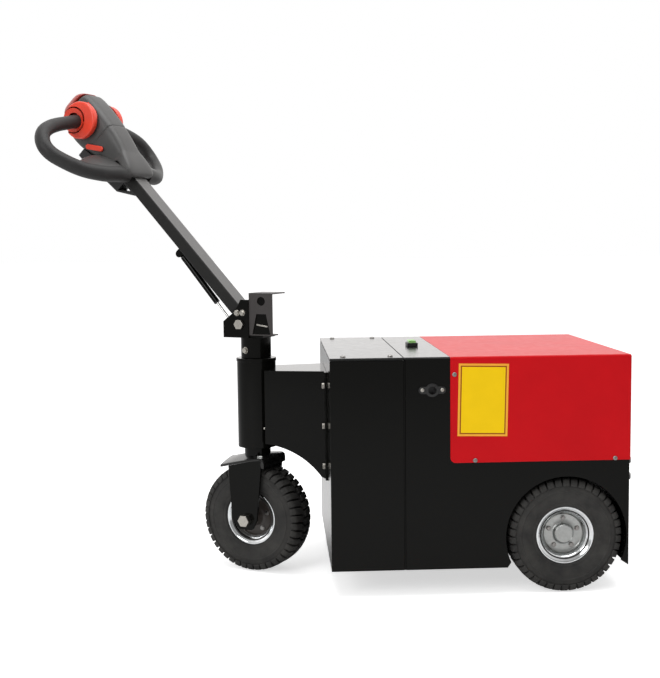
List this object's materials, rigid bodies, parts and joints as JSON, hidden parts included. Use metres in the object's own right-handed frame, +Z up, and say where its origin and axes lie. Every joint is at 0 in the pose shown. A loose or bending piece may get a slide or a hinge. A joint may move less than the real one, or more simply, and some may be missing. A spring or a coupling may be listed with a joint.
{
  "type": "walk-behind battery tow tug",
  "caption": "Walk-behind battery tow tug: a black steel box with a red cover on driven rear wheels, a steered front wheel and a tilting tiller with looped grips.",
  "frame": {"origin": "on the floor, under the middle of the parked tug's box", "axes": "+X towards the tow jaw, +Y to the side away from the charging socket, +Z up"},
  "size_m": [1.4334, 0.69, 1.1723],
  "materials": {
    "black_paint": "satin black paint",
    "red_paint": "gloss red paint",
    "tyre_rubber": "matt black rubber",
    "seal_rubber": "matt black foam rubber",
    "zinc_plate": "bright zinc plate",
    "battery_case": "black battery case",
    "cast_drive": "grey painted casting",
    "black_plastic": "grained black plastic",
    "grey_plastic": "grained dark grey plastic",
    "orange_plastic": "orange-red plastic",
    "spring_black": "black gas spring",
    "rod_chrome": "polished rod"
  },
  "bodies": {
    "chassis": {"front_box": "black_paint", "bulkhead": "black_paint", "lid_gasket": "seal_rubber", "front_lid": "black_paint", "switch_deck": "black_paint", "side_panel_near": "black_paint", "side_panel_far": "black_paint", "wheel_wells": "black_paint", "floor_pan": "black_paint", "rear_panel": "black_paint", "battery_tray": "black_paint", "battery_pack": "battery_case", "rear_cover": "red_paint", "drive_unit": "cast_drive", "tow_jaw": "black_paint", "power_switch": "black_plastic", "charge_socket": "black_plastic", "neck": "black_paint", "flange_bolts": "zinc_plate", "head_tube": "black_paint"},
    "steering": {"fork_crown": "black_paint", "fork_legs": "black_paint", "front_axle": "zinc_plate", "steering_stem": "black_paint", "tiller_foot": "black_paint", "pivot_bolt": "zinc_plate", "switch_bracket": "black_paint", "tilt_switch": "black_plastic"},
    "front_wheel": {"front_tyre": "tyre_rubber", "front_rim": "zinc_plate"},
    "rear_wheel_near": {"rear_tyre_near": "tyre_rubber", "rear_rim_near": "zinc_plate"},
    "rear_wheel_far": {"rear_tyre_far": "tyre_rubber", "rear_rim_far": "zinc_plate"},
    "tiller": {"tiller_arm": "black_paint", "tiller_knuckle": "black_paint", "spring_lug": "black_paint", "tiller_head": "grey_plastic", "belly_button": "orange_plastic", "drive_wings": "orange_plastic", "side_buttons": "orange_plastic", "handle_base": "black_plastic", "handle_loop_near": "black_plastic", "handle_loop_far": "black_plastic"},
    "gas_spring_cylinder": {"spring_cylinder": "spring_black"},
    "gas_spring_rod": {"spring_rod": "rod_chrome"}
  },
  "joints": [
    {"name": "steer", "type": "hinge", "parent": "chassis", "child": "steering", "pos_m": [-0.20029, -0.07449, 0], "axis": [0, 0, 1], "range_deg": [-62, 118]},
    {"name": "front_wheel_spin", "type": "hinge", "parent": "steering", "child": "front_wheel", "pos_m": [-0.20382, -0.07261, 0.13], "axis": [0.4695, 0.8829, 0], "continuous": true},
    {"name": "rear_wheel_near_spin", "type": "hinge", "parent": "chassis", "child": "rear_wheel_near", "pos_m": [0.48971, -0.29399, 0.13], "axis": [0, 1, 0], "continuous": true},
    {"name": "rear_wheel_far_spin", "type": "hinge", "parent": "chassis", "child": "rear_wheel_far", "pos_m": [0.48971, 0.14501, 0.13], "axis": [0, 1, 0], "continuous": true},
    {"name": "tiller_tilt", "type": "hinge", "parent": "steering", "child": "tiller", "pos_m": [-0.22122, -0.06336, 0.598], "axis": [-0.4695, -0.8829, 0], "range_deg": [-35, 35]},
    {"name": "spring_swing", "type": "hinge", "parent": "tiller", "child": "gas_spring_cylinder", "pos_m": [-0.38282, 0.02257, 0.76642], "axis": [-0.4695, -0.8829, 0], "range_deg": [-2.5, 2.5]},
    {"name": "spring_slide", "type": "slide", "parent": "gas_spring_cylinder", "child": "gas_spring_rod", "axis": [0.5713, -0.3038, -0.7624], "range_m": [-0.0183, 0.0183]}
  ],
  "couplings": [
    {"joint": "spring_swing", "follows": "tiller_tilt", "ratio": 0.06578},
    {"joint": "spring_slide", "follows": "tiller_tilt", "m_per_rad": -0.029145}
  ]
}
